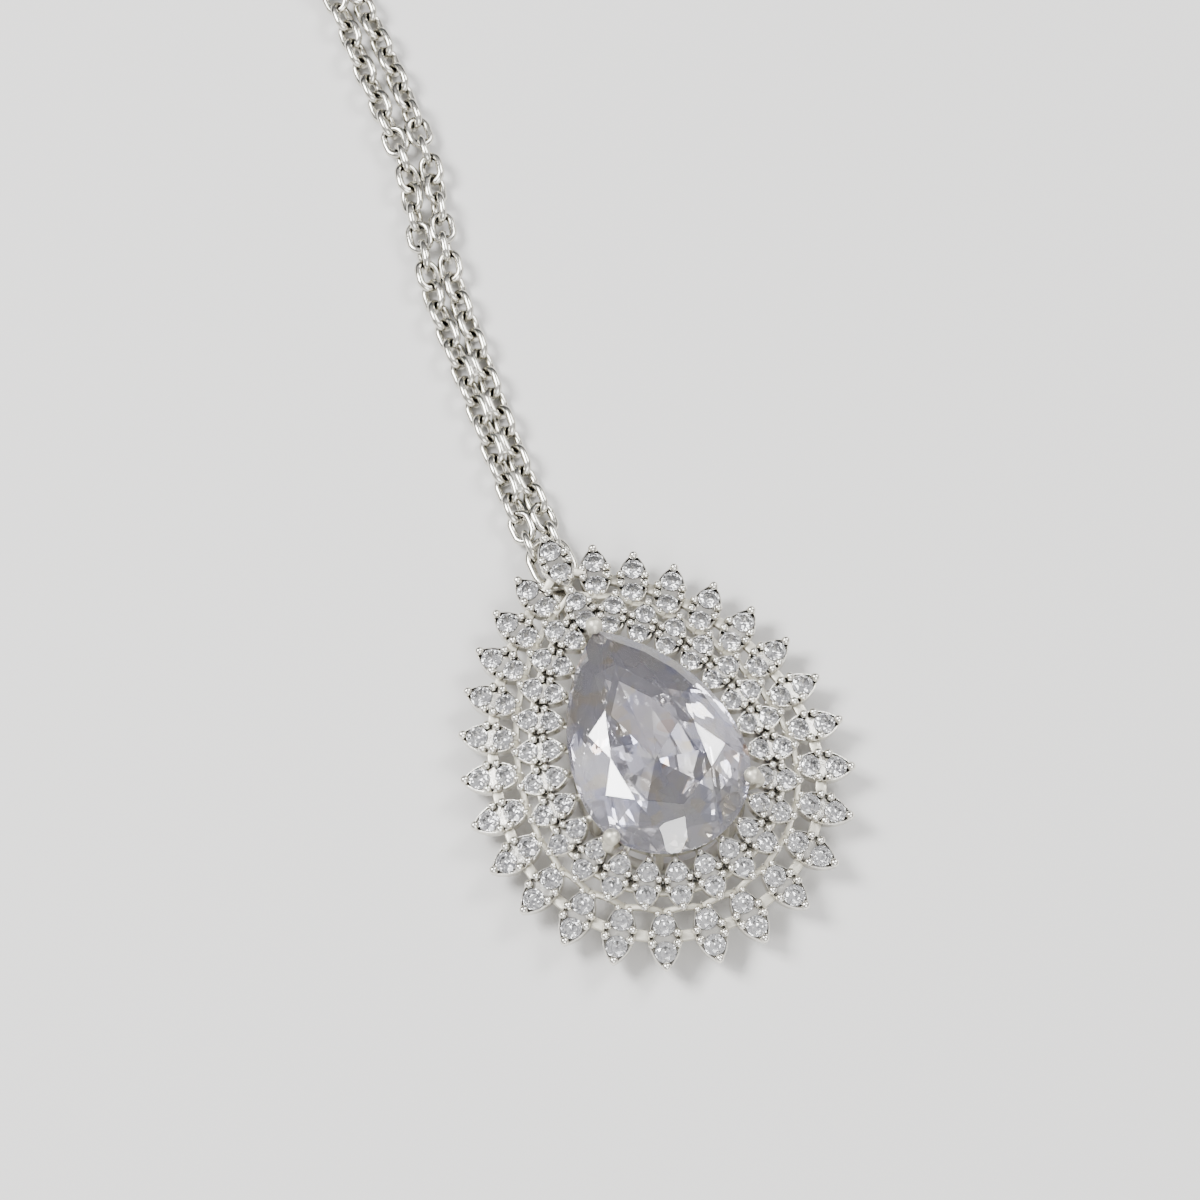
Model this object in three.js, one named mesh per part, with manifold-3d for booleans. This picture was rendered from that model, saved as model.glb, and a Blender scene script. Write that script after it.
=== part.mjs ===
// A maang tikka: a forehead pendant with a pear-cut stone in two rings of pointed settings, on a double chain.
// It lies on its back, in millimetres: +Z up, +Y along the pendant towards its chain, z = 0 the surface.
// The origin is on the pendant's flat back: on the tongue's underside, below the top setting's inner tip.
import * as THREE from "three";
import { ConvexGeometry } from "three/addons/geometries/ConvexGeometry.js";
import { mergeVertices } from "three/addons/utils/BufferGeometryUtils.js";
import Module from "manifold-3d";

// Pear-cut stone. Its outline is a half circle with two flank arcs that meet in a point.
const STONE_LENGTH = 20;
const STONE_WIDTH = 13.8;
const GIRDLE_HEIGHT = 6.4;
const GIRDLE_BAND = 0.18;
const PAVILION_DEPTH = 5.6;
const PAVILION_BREAK = { inset: 2.4, depth: 2.3 };
const CROWN_HEIGHT = 1.9;
const CROWN_BREAK = { inset: 1.5, rise: 1.15 };
const TABLE_INSET = 3.1;
const STONE_FACETS = 16;

// Pointed oval settings for pairs of small round stones. Heights are to the middle of a setting's top.
const RING_SHIFT = 0.3; // the rings' centre lies this far up the axis from the stone's
const SETTING_SLOPE = THREE.MathUtils.degToRad(9);
const SETTING_THICKNESS = 1.0;
const SETTING_SIDE_STEPS = 2;
const SETTINGS_PER_RING = 26;
const OUTER = { length: 4.85, width: 2.5, offset: 6.25, height: 2.8, aim: 1.8, rise: 20, fade: 4.2 };
const INNER = { length: 4.2, width: 2.25, offset: 2.15, height: 4.5, aim: 0.8, rise: 15, fade: 7 };
const OUTER_FIRST = 2.95; // from the axis to the first outer setting, along their ring
const OUTER_CROWDING = 1.0; // how far the outer settings halfway round are drawn up towards the point

// Basket under the stone: a gallery rail close below the girdle, and a base rail on the surface, joined by posts.
const GALLERY = { width: 0.5, height: 0.9, belowGirdle: 1.3 };
const PAVILION_CLEARANCE = 0.4;
const BASE_RAIL = { width: 0.8, height: 0.9 };
const BASKET_POSTS = { count: 8, size: 0.6 };
const ARC_STEPS = 4;

// Bars between the settings.
const BAR = 0.7;
const BAR_DROP = 0.5; // a bar's middle lies this far below the settings' tops
const OUTER_BAR_INSET = 0.25; // outer bars lie this far inwards from the settings' middles
const INNER_BAR_INSET = -0.5; // inner bars lie this far outwards
const TIP_BAR = { size: 0.7, inset: 0.35, drop: 0.1 }; // from one outer setting's inner tip to the next
const STUB = { size: 0.5, inset: 0.4 }; // from an inner setting's inner tip to the gallery rail
const TOP_STAY_INSET = 0.6; // from a tip to the bar that ties the top setting to its neighbours

// Claws over the stone's edge.
const CLAW_WIRE = 0.9;
const CLAW_CLEARANCE = 0.3;
const CLAW_BEAD = { radius: 0.6, overhang: 0.2, lift: 0.74 };
const CLAW_ANGLES = [-30, 210];
const CLAW_SIDES = 10;
const CLAW_ROWS = 5;

// Wire chain: two strands of oval links side by side, soldered together near the pendant.
const WIRE = 0.6;
const LINK_LENGTH = 3.03;
const LINK_WIDTH = 2.15;
const LINK_SEAT = 0.05; // how deep two links press into each other where they meet
const LINK_SEGMENTS = 10;
const WIRE_SIDES = 5;
const LINK_LEAN = 45;
const END_LEAN = 10; // the last links stand nearly upright, to hold a lying ring
const EASE_LINKS = 2;
const SOLDER = { length: 1.5, width: 0.78, height: 0.34, links: [3, 5, 7, 9] };

// The chain's route from the pendant to its end: x and y from the middle of its first link, the distance between
// the two strands, and how far the links are twisted about the chain, in degrees. It runs on past the last link.
const CHAIN_LINKS = 31;
const CHAIN_ROUTE = [
  [0, 0, 1.98, 0],
  [0.1, 2.57, 1.98, 0],
  [0.4, 7.07, 1.74, 0],
  [1.0, 14.07, 1.76, 0],
  [1.55, 20.07, 1.95, 0],
  [1.9, 24.07, 2.02, 0],
  [3.4, 31.07, 2.14, 64],
  [4.6, 36.07, 2.16, 116],
  [5.1, 42.07, 2.25, 180],
  [5.4, 48.07, 2.3, 180],
  [5.6, 53.07, 2.0, 180],
  [5.6, 66.07, 2.0, 180],
].map(([x, y, spacing, twist]) => ({ x, y, spacing, twist }));

// Oval rings at the chain's two ends, and the loop on the pendant's back that holds the first one.
const RING_WIRE = 0.7;
const RING_LENGTH = 5.0;
const RING_WIDTH = 4.0;
const RING_SIDES = 8;
const RING_SEGMENTS = 14;
const RING_REACH = 2.03; // from a last link's middle to its ring's middle
const RING_CLEARANCE = 0.3;
const TIP_TO_RING = 1.39; // clear space along the axis between the inner settings and the first ring
const TOP_SETTING = { behindRing: 0.9, height: 3.6, thickness: 0.8 };
const TONGUE_WIDTH = 1.8;
const TOP_POST = 1.0;

// Hair hook.
const HOOK = { wire: 1.0, gap: 5.0, shank: 12, returnLength: 8, flare: 0.8, sideSteps: 4, steps: 14 };
const HOOK_EYE = { wire: 0.55, hole: 1.0 };
const HOOK_START = 0.6; // from the eye's middle to the shank's end
const FLOOR_GAP = 0.02;

const wasm = await Module();
wasm.setup();

const STONE_RADIUS = STONE_WIDTH / 2;
const POINT_HEIGHT = STONE_LENGTH - STONE_RADIUS;
const FLANK_RADIUS = STONE_RADIUS / 2 + POINT_HEIGHT ** 2 / STONE_WIDTH;
const FLANK_CENTRE = FLANK_RADIUS - STONE_RADIUS;
const GALLERY_TOP = GIRDLE_HEIGHT - GALLERY.belowGirdle;
const GALLERY_MIDDLE = GALLERY_TOP - GALLERY.height / 2;
const PAVILION_INSET = (PAVILION_BREAK.inset * GALLERY.belowGirdle) / PAVILION_BREAK.depth;
const BASKET_OFFSET = GALLERY.width / 2 + PAVILION_CLEARANCE - PAVILION_INSET; // both rails' middle line
const PITCH = LINK_LENGTH - 2 * WIRE + LINK_SEAT;
const middleLine = strandLine(0);

function solidOf(geometry) {
  const bare = geometry.clone();
  bare.deleteAttribute("normal");
  bare.deleteAttribute("uv");
  const merged = mergeVertices(bare, 1e-5);
  return new wasm.Manifold(
    new wasm.Mesh({
      numProp: 3,
      vertProperties: merged.attributes.position.array,
      triVerts: new Uint32Array(merged.index.array),
    }),
  );
}

function geometryOf(solid) {
  const mesh = solid.getMesh();
  const geometry = new THREE.BufferGeometry();
  geometry.setAttribute("position", new THREE.BufferAttribute(mesh.vertProperties, 3));
  geometry.setIndex(new THREE.BufferAttribute(mesh.triVerts, 1));
  geometry.computeVertexNormals();
  return geometry;
}

function join(geometries) {
  return geometries.map(solidOf).reduce((joined, next) => joined.add(next));
}

// Links that press together can shut in a speck of air: it is filled, so that the wire is solid there.
function filled(solid) {
  const bodies = solid.decompose().filter((body) => body.volume() > 0);
  return bodies.reduce((joined, next) => joined.add(next));
}

// The angle of the point on a pear outline, seen from the centre of its right flank arc.
function pointAngle(offset) {
  return Math.acos(FLANK_CENTRE / (FLANK_RADIUS + offset));
}

// Half the way round an outline that runs at an offset outside the stone, from its point to its round end.
function halfLength(offset) {
  return (FLANK_RADIUS + offset) * pointAngle(offset) + ((STONE_RADIUS + offset) * Math.PI) / 2;
}

// The place on that outline a distance along from the point, on the right side, or on the left where negative.
function placeAlong(offset, distance) {
  const side = Math.sign(distance) || 1;
  const flank = (FLANK_RADIUS + offset) * pointAngle(offset);
  const along = Math.abs(distance);
  if (along <= flank) {
    const angle = pointAngle(offset) - along / (FLANK_RADIUS + offset);
    const x = (FLANK_RADIUS + offset) * Math.cos(angle) - FLANK_CENTRE;
    return new THREE.Vector2(side * x, (FLANK_RADIUS + offset) * Math.sin(angle));
  }
  const angle = -(along - flank) / (STONE_RADIUS + offset);
  const radius = STONE_RADIUS + offset;
  return new THREE.Vector2(side * radius * Math.cos(angle), radius * Math.sin(angle));
}

// The outline itself, at an offset outside the stone's.
function pearPath(offset, path = new THREE.Shape()) {
  const turn = pointAngle(offset);
  path.absarc(-FLANK_CENTRE, 0, FLANK_RADIUS + offset, 0, turn, false);
  path.absarc(FLANK_CENTRE, 0, FLANK_RADIUS + offset, Math.PI - turn, Math.PI, false);
  path.absarc(0, 0, STONE_RADIUS + offset, Math.PI, 2 * Math.PI, false);
  return path;
}

// One rail of the basket.
function pearRail({ width, height }, bottom) {
  const shape = pearPath(BASKET_OFFSET + width / 2);
  shape.holes.push(pearPath(BASKET_OFFSET - width / 2, new THREE.Path()));
  const rail = new THREE.ExtrudeGeometry(shape, {
    depth: height,
    curveSegments: ARC_STEPS,
    bevelEnabled: false,
  });
  return rail.translate(0, 0, bottom);
}

function bar(from, to, size) {
  const box = new THREE.BoxGeometry(size, size, from.distanceTo(to));
  const middle = from.clone().add(to).multiplyScalar(0.5);
  const turn = new THREE.Matrix4().lookAt(to, from, new THREE.Vector3(0, 0, 1));
  return box.applyMatrix4(turn).translate(middle.x, middle.y, middle.z);
}

// A closed wire ring round the Y axis, with one edge of its wire facing inwards.
function wireRing(radius, wire, sides, segments) {
  const profile = [];
  for (let i = 0; i <= sides; i++) {
    const angle = Math.PI + (2 * Math.PI * (i % sides)) / sides;
    profile.push(new THREE.Vector2(radius + (wire / 2) * Math.cos(angle), (-wire / 2) * Math.sin(angle)));
  }
  return new THREE.LatheGeometry(profile.reverse(), segments);
}

// An oval ring or link that lies flat, long along Y: a round ring whose halves are slid apart.
function ovalRing(length, width, wire, sides, segments) {
  const sideAngle = (2 * Math.PI * Math.round(segments / 4 - 0.5)) / segments;
  const radius = (width - wire) / 2 / Math.sin(sideAngle);
  const slide = (length - wire) / 2 - radius;
  const ring = wireRing(radius, wire, sides, segments);
  const position = ring.attributes.position;
  for (let i = 0; i < position.count; i++) {
    const z = position.getZ(i);
    position.setZ(i, z + Math.sign(z) * slide);
  }
  return ring.rotateX(-Math.PI / 2);
}

function settingShape(length, width) {
  const arcRadius = (length ** 2 + width ** 2) / (4 * width);
  const halfTurn = Math.asin(length / 2 / arcRadius);
  const shape = new THREE.Shape();
  const reach = arcRadius - width / 2;
  shape.absarc(-reach, 0, arcRadius, -halfTurn, halfTurn, false);
  shape.absarc(reach, 0, arcRadius, Math.PI - halfTurn, Math.PI + halfTurn, false);
  return shape;
}

// One setting, its top's middle at the origin and its outer tip towards +Y.
function settingGeometry(length, width, thickness) {
  const plate = new THREE.ExtrudeGeometry(settingShape(length, width), {
    depth: thickness,
    curveSegments: SETTING_SIDE_STEPS,
    bevelEnabled: false,
  });
  return plate.translate(0, 0, -thickness).rotateX(-SETTING_SLOPE);
}

// Where each setting of a ring sits: its middle, and the direction in which its outer tip points.
function settingPlace(ring, distance) {
  const middle = placeAlong(ring.offset, distance);
  middle.y += RING_SHIFT;
  const aim = ring.aim + ring.rise * Math.exp(-Math.abs(distance) / ring.fade);
  const direction = middle.clone().sub(new THREE.Vector2(0, aim)).normalize();
  return { middle, direction, height: ring.height, length: ring.length };
}

function innerPlaces() {
  const step = halfLength(INNER.offset) / (SETTINGS_PER_RING / 2);
  const places = [];
  for (let i = 0; i < SETTINGS_PER_RING; i++) {
    const turn = i <= SETTINGS_PER_RING / 2 ? i : i - SETTINGS_PER_RING;
    places.push(settingPlace(INNER, turn * step));
  }
  return places;
}

function outerPlaces() {
  const half = SETTINGS_PER_RING / 2;
  const gaps = half - 1 / 2; // the two lowest settings are half a gap either side of the axis
  const step = (halfLength(OUTER.offset) - OUTER_FIRST) / gaps;
  const distances = [];
  for (let i = 0; i < half; i++) {
    const crowding = OUTER_CROWDING * Math.sin((Math.PI * i) / (half - 1));
    distances.push(OUTER_FIRST + i * step - crowding);
  }
  const right = distances.map((distance) => settingPlace(OUTER, distance));
  const left = distances.map((distance) => settingPlace(OUTER, -distance));
  return [...right, ...left.reverse()];
}

// A point on a setting's middle line, a distance outwards from its middle and a drop below its top.
function onSetting(place, outwards, drop) {
  const flat = place.middle.clone().addScaledVector(place.direction, outwards * Math.cos(SETTING_SLOPE));
  return new THREE.Vector3(flat.x, flat.y, place.height - outwards * Math.sin(SETTING_SLOPE) - drop);
}

function placed(geometry, place) {
  const turn = Math.atan2(-place.direction.x, place.direction.y);
  return geometry.clone().rotateZ(turn).translate(place.middle.x, place.middle.y, place.height);
}

// A place on the basket's middle line, at a share of the way from its point to its round end and back.
function onBasket(share) {
  const place = placeAlong(BASKET_OFFSET, (share > 1 / 2 ? share - 1 : share) * 2 * halfLength(BASKET_OFFSET));
  return new THREE.Vector3(place.x, place.y, GALLERY_MIDDLE);
}

function basketPost(i) {
  const top = onBasket((i + 1 / 2) / BASKET_POSTS.count);
  const bottom = BASE_RAIL.height / 2;
  const post = new THREE.BoxGeometry(BASKET_POSTS.size, BASKET_POSTS.size, top.z - bottom);
  return post.translate(top.x, top.y, (top.z + bottom) / 2);
}

function basket() {
  const posts = Array.from({ length: BASKET_POSTS.count }, (_, i) => basketPost(i));
  return [pearRail(BASE_RAIL, 0), pearRail(GALLERY, GALLERY_TOP - GALLERY.height), ...posts];
}

function claw(x, y, outwards) {
  const reach = CLAW_CLEARANCE + CLAW_WIRE / 2;
  const top = GIRDLE_HEIGHT + GIRDLE_BAND + CLAW_BEAD.lift;
  const bottom = GALLERY_MIDDLE;
  const post = new THREE.CylinderGeometry(CLAW_WIRE / 2, CLAW_WIRE / 2, top - bottom, CLAW_SIDES)
    .rotateX(Math.PI / 2)
    .translate(x + reach * outwards.x, y + reach * outwards.y, (top + bottom) / 2);
  const foot = bar(
    new THREE.Vector3(x + BASKET_OFFSET * outwards.x, y + BASKET_OFFSET * outwards.y, bottom),
    new THREE.Vector3(x + reach * outwards.x, y + reach * outwards.y, bottom),
    CLAW_WIRE,
  );
  const bead = new THREE.SphereGeometry(CLAW_BEAD.radius, CLAW_SIDES, CLAW_ROWS)
    .rotateX(Math.PI / 2)
    .translate(x + CLAW_BEAD.overhang * outwards.x, y + CLAW_BEAD.overhang * outwards.y, top);
  return [post, foot, bead];
}

function claws() {
  const low = CLAW_ANGLES.flatMap((degrees) => {
    const angle = THREE.MathUtils.degToRad(degrees);
    const outwards = new THREE.Vector2(Math.cos(angle), Math.sin(angle));
    return claw(STONE_RADIUS * outwards.x, STONE_RADIUS * outwards.y, outwards);
  });
  return [...low, ...claw(0, POINT_HEIGHT, new THREE.Vector2(0, 1))];
}

// The top setting, with the tongue and post behind it that make a loop for the first ring.
function topSetting(inner, outer) {
  const place = {
    middle: new THREE.Vector2(0, topSettingY()),
    direction: new THREE.Vector2(0, 1),
    height: TOP_SETTING.height,
  };
  const plate = placed(settingGeometry(OUTER.length, OUTER.width, TOP_SETTING.thickness), place);
  const ringBack = firstRingY() - (RING_LENGTH - RING_WIRE) / 2;
  const postY = ringBack + RING_WIRE / 2 + RING_CLEARANCE + TOP_POST / 2;
  const tongueTop = strandHeight(0) - RING_WIRE / 2 - RING_CLEARANCE;
  const railY = onBasket(0).y;
  const tongueEnd = postY + TOP_POST / 2;
  const tongue = new THREE.BoxGeometry(TONGUE_WIDTH, tongueEnd - railY, tongueTop);
  tongue.translate(0, (tongueEnd + railY) / 2, tongueTop / 2);
  const postTop = TOP_SETTING.height - TOP_SETTING.thickness / 2;
  const post = new THREE.BoxGeometry(TOP_POST, TOP_POST, postTop);
  post.translate(0, postY, postTop / 2);
  const tail = -(OUTER.length / 2 - TOP_STAY_INSET);
  const own = onSetting(place, tail, TOP_SETTING.thickness / 2);
  const tips = [
    onSetting(inner[0], INNER.length / 2 - TOP_STAY_INSET, BAR_DROP),
    onSetting(outer[0], -OUTER_BAR_INSET, BAR_DROP),
    onSetting(outer[outer.length - 1], -OUTER_BAR_INSET, BAR_DROP),
  ];
  return [plate, tongue, post, ...tips.map((tip) => bar(own, tip, BAR))];
}

// The middle of the first ring, which lies just outside the tip of the inner ring's first setting.
function firstRingY() {
  const tip = onSetting(settingPlace(INNER, 0), INNER.length / 2, 0);
  return tip.y + TIP_TO_RING + RING_LENGTH / 2;
}

function topSettingY() {
  return firstRingY() - TOP_SETTING.behindRing;
}

function pendantFrame() {
  const inner = innerPlaces();
  const outer = outerPlaces();
  const innerSetting = settingGeometry(INNER.length, INNER.width, SETTING_THICKNESS);
  const outerSetting = settingGeometry(OUTER.length, OUTER.width, SETTING_THICKNESS);
  const pieces = [
    ...basket(),
    ...inner.map((place) => placed(innerSetting, place)),
    ...outer.map((place) => placed(outerSetting, place)),
    ...topSetting(inner, outer),
    ...claws(),
  ];
  inner.forEach((place, i) => {
    const next = inner[(i + 1) % inner.length];
    const outwards = -INNER_BAR_INSET;
    pieces.push(bar(onSetting(place, outwards, BAR_DROP), onSetting(next, outwards, BAR_DROP), BAR));
    const tip = onSetting(place, STUB.inset - INNER.length / 2, BAR_DROP);
    pieces.push(bar(tip, onBasket(i / inner.length), STUB.size));
  });
  outer.slice(0, -1).forEach((place, i) => {
    const next = outer[i + 1];
    const outwards = -OUTER_BAR_INSET;
    pieces.push(bar(onSetting(place, outwards, BAR_DROP), onSetting(next, outwards, BAR_DROP), BAR));
    const tip = TIP_BAR.inset - OUTER.length / 2;
    pieces.push(bar(onSetting(place, tip, TIP_BAR.drop), onSetting(next, tip, TIP_BAR.drop), TIP_BAR.size));
  });
  return geometryOf(join(pieces));
}

// A ring of points on the stone's outline, moved inwards, one for each facet.
function facetRing(inset, height, count, phase) {
  const half = halfLength(-inset);
  const points = [];
  for (let i = 0; i < count; i++) {
    const turn = ((i + phase) / count) * 2;
    const place = placeAlong(-inset, (turn > 1 ? turn - 2 : turn) * half);
    points.push(new THREE.Vector3(place.x, place.y, height));
  }
  return points;
}

function centreStone() {
  const girdleTop = GIRDLE_HEIGHT + GIRDLE_BAND;
  return new ConvexGeometry([
    ...facetRing(TABLE_INSET, girdleTop + CROWN_HEIGHT, STONE_FACETS / 2, 0),
    ...facetRing(CROWN_BREAK.inset, girdleTop + CROWN_BREAK.rise, STONE_FACETS / 2, 0.5),
    ...facetRing(0, girdleTop, STONE_FACETS * 2, 0),
    ...facetRing(0, GIRDLE_HEIGHT, STONE_FACETS * 2, 0),
    ...facetRing(PAVILION_BREAK.inset, GIRDLE_HEIGHT - PAVILION_BREAK.depth, STONE_FACETS / 2, 0.5),
    new THREE.Vector3(0, 0, GIRDLE_HEIGHT - PAVILION_DEPTH),
  ]);
}

// The lean of link i about the chain: alternate links stand crosswise, upright at the two ends.
function linkLean(i) {
  const fromEnd = Math.min(i, CHAIN_LINKS - 1 - i);
  const ease = Math.min(1, fromEnd / EASE_LINKS);
  return THREE.MathUtils.lerp(END_LEAN, LINK_LEAN, ease) + (i % 2 === 0 ? 90 : 0) + twistAt(i);
}

function halfHeight(lean) {
  return WIRE / 2 + ((LINK_WIDTH - WIRE) / 2) * Math.abs(Math.sin(THREE.MathUtils.degToRad(lean)));
}

// A link lies no lower than its neighbours let it, and none reaches below the surface.
function strandHeight(i) {
  const near = [i - 1, i, i + 1].filter((n) => n >= 0 && n < CHAIN_LINKS);
  return Math.max(...near.map((n) => halfHeight(linkLean(n)))) + FLOOR_GAP;
}

// The middle line of a strand: side is -1 for the left strand, 1 for the right one and 0 between them.
function strandLine(side) {
  const start = firstRingY() + RING_REACH;
  const points = CHAIN_ROUTE.map(
    ({ x, y, spacing }) => new THREE.Vector3(x + (side * spacing) / 2, start + y, 0),
  );
  return new THREE.CatmullRomCurve3(points, false, "centripetal");
}

function linkPlace(line, i) {
  const along = (i * PITCH) / line.getLength();
  return { middle: line.getPointAt(along), direction: line.getTangentAt(along) };
}

function twistAt(i) {
  const y = linkPlace(middleLine, i).middle.y - linkPlace(middleLine, 0).middle.y;
  const after = Math.max(1, CHAIN_ROUTE.findIndex((row) => row.y >= y));
  const [low, high] = [CHAIN_ROUTE[after - 1], CHAIN_ROUTE[after]];
  const share = THREE.MathUtils.clamp((y - low.y) / (high.y - low.y), 0, 1);
  return THREE.MathUtils.lerp(low.twist, high.twist, share);
}

function doubleChain() {
  const link = ovalRing(LINK_LENGTH, LINK_WIDTH, WIRE, WIRE_SIDES, LINK_SEGMENTS);
  const pieces = [];
  for (const side of [-1, 1]) {
    const line = strandLine(side);
    for (let i = 0; i < CHAIN_LINKS; i++) {
      const { middle, direction } = linkPlace(line, i);
      const lean = THREE.MathUtils.degToRad(side * linkLean(i));
      const copy = link.clone().rotateY(lean).rotateZ(Math.atan2(-direction.x, direction.y));
      pieces.push(copy.translate(middle.x, middle.y, strandHeight(i)));
    }
  }
  for (const i of SOLDER.links) {
    const { middle, direction } = linkPlace(middleLine, i);
    const top = 2 * strandHeight(i) - WIRE / 2 - FLOOR_GAP;
    const dot = new THREE.BoxGeometry(SOLDER.width, SOLDER.length, SOLDER.height);
    dot.rotateZ(Math.atan2(-direction.x, direction.y));
    pieces.push(dot.translate(middle.x, middle.y, top - SOLDER.height / 2));
  }
  return geometryOf(filled(join(pieces)));
}

function jumpRing() {
  return ovalRing(RING_LENGTH, RING_WIDTH, RING_WIRE, RING_SIDES, RING_SEGMENTS);
}

function hairHook() {
  const { wire, gap, shank, returnLength, flare, sideSteps, steps } = HOOK;
  const section = new THREE.Shape();
  section.absarc(0, 0, wire / 2, 0, 2 * Math.PI, false);
  const z = wire / 2 + FLOOR_GAP;
  const bend = (gap + wire) / 2;
  const start = new THREE.Vector3(0, HOOK_START, z);
  const shoulder = new THREE.Vector3(0, HOOK_START + shank, z);
  const points = [start, new THREE.Vector3(0, HOOK_START + shank / 2, z), shoulder];
  for (const degrees of [150, 120, 90, 60, 30, 0]) {
    const angle = THREE.MathUtils.degToRad(degrees);
    points.push(new THREE.Vector3(bend + bend * Math.cos(angle), shoulder.y + bend * Math.sin(angle), z));
  }
  points.push(new THREE.Vector3(2 * bend, shoulder.y - returnLength / 2, z));
  points.push(new THREE.Vector3(2 * bend + flare, shoulder.y - returnLength, z));
  const extrudePath = new THREE.CatmullRomCurve3(points, false, "centripetal");
  const rod = new THREE.ExtrudeGeometry(section, { steps, curveSegments: sideSteps, extrudePath });
  const eyeRadius = (HOOK_EYE.hole + HOOK_EYE.wire) / 2;
  const eye = wireRing(eyeRadius, HOOK_EYE.wire, RING_SIDES, RING_SEGMENTS).rotateZ(Math.PI / 2);
  return geometryOf(join([rod, eye.translate(0, 0, strandHeight(CHAIN_LINKS - 1))]));
}

function metal(color, roughness) {
  return new THREE.MeshStandardMaterial({ color, roughness, metalness: 1 });
}

function mesh(name, geometry, material, x, y, z) {
  const piece = new THREE.Mesh(geometry, material);
  piece.name = name;
  piece.position.set(x, y, z);
  return piece;
}

const tikka = new THREE.Group();
const onStone = new THREE.Group();
onStone.position.y = OUTER.length / 2 - topSettingY();
tikka.add(onStone);

const stoneMaterial = new THREE.MeshStandardMaterial({ color: 0xe9e8ee, roughness: 0.03, metalness: 0 });
const ringLift = strandHeight(0);
const { x: endX, y: chainEndY } = linkPlace(middleLine, CHAIN_LINKS - 1).middle;
const endRingY = chainEndY + RING_REACH;
const eyeY = endRingY + (RING_LENGTH - RING_WIRE) / 2;
onStone.add(
  mesh("pendant_frame", pendantFrame(), metal(0xd6d3c8, 0.22), 0, 0, 0),
  mesh("centre_stone", centreStone(), stoneMaterial, 0, 0, 0),
  mesh("jump_ring", jumpRing(), metal(0xd2cec2, 0.2), 0, firstRingY(), ringLift),
  mesh("double_chain", doubleChain(), metal(0xd2cec2, 0.25), 0, 0, 0),
  mesh("end_ring", jumpRing(), metal(0xd2cec2, 0.2), endX, endRingY, ringLift),
  mesh("hair_hook", hairHook(), metal(0xd2cec2, 0.2), endX, eyeY, 0),
);

export default tikka;
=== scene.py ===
# A maang tikka lying on its back: a pear-cut stone in two rings of pointed settings, on a double chain.
# Blender works in metres and this file in millimetres, +Z up and +Y along the pendant towards its chain.
import math

import bmesh
import bpy
import numpy as np
from mathutils import Euler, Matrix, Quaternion, Vector


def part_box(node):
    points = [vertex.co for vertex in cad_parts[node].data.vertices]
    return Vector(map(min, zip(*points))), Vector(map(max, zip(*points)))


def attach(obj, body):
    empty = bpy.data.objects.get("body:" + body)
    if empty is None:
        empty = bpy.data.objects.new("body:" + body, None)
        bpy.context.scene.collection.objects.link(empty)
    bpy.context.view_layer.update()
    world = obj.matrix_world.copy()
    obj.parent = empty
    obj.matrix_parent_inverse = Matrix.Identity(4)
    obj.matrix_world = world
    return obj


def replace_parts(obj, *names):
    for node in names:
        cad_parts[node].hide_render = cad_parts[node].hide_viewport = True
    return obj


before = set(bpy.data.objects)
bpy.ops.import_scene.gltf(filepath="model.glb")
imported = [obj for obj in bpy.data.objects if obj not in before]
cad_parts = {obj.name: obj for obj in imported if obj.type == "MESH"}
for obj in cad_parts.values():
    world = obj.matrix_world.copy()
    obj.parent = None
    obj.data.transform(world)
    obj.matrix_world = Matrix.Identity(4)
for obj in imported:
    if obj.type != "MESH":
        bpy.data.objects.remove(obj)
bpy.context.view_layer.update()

# Basket: two pear-shaped rails of cast brass one above the other, joined by posts and plated with rhodium. The
# jewel lies on the base rail, and the gallery rail runs close round the big stone's back, below its edge.
MM = 0.001
STONE_LENGTH = 20.0
STONE_WIDTH = 13.8
STONE_RADIUS = STONE_WIDTH / 2
POINT_HEIGHT = STONE_LENGTH - STONE_RADIUS
FLANK_RADIUS = STONE_RADIUS / 2 + POINT_HEIGHT**2 / STONE_WIDTH
FLANK_CENTRE = FLANK_RADIUS - STONE_RADIUS
PEAR_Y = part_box("centre_stone")[0].y / MM + STONE_RADIUS
BASKET_OFFSET = -0.7
BASE_RAIL = {"width": 0.8, "bottom": 0.0, "top": 0.9, "corner": 0.2}
GALLERY_RAIL = {"width": 0.5, "bottom": 4.2, "top": 5.1, "corner": 0.12}
GALLERY_MIDDLE = (GALLERY_RAIL["bottom"] + GALLERY_RAIL["top"]) / 2
BASKET_POSTS = {"count": 8, "wire": 0.65, "sides": 12}
RAIL_SAMPLES = 144


def linear(colour):
    """An sRGB hex value as the linear colour that a socket takes."""
    channels = [int(colour[i : i + 2], 16) / 255 for i in (1, 3, 5)]
    return [c / 12.92 if c <= 0.04045 else ((c + 0.055) / 1.055) ** 2.4 for c in channels] + [1.0]


def add(tree, kind, inputs=(), **settings):
    """Adds a node. Each of its inputs takes a value, or a link where it is given another node's socket."""
    new = tree.nodes.new(kind)
    for key, value in settings.items():
        setattr(new, key, value)
    for key, value in dict(inputs).items():
        if isinstance(value, bpy.types.NodeSocket):
            tree.links.new(value, new.inputs[key])
        else:
            new.inputs[key].default_value = value
    return new


def fill_ramp(ramp, stops):
    """Gives a colour ramp its stops, each a place and a colour, from the lowest place to the highest."""
    ramp.elements[0].position, ramp.elements[1].position = stops[0][0], stops[-1][0]
    for place, _ in stops[1:-1]:
        ramp.elements.new(place)
    for element, (_, colour) in zip(ramp.elements, stops):
        element.color = linear(colour)


def empty_material(name):
    """A new material and its empty tree."""
    material = bpy.data.materials.new(name)
    material.use_nodes = True
    material.node_tree.nodes.clear()
    return material, material.node_tree


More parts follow.
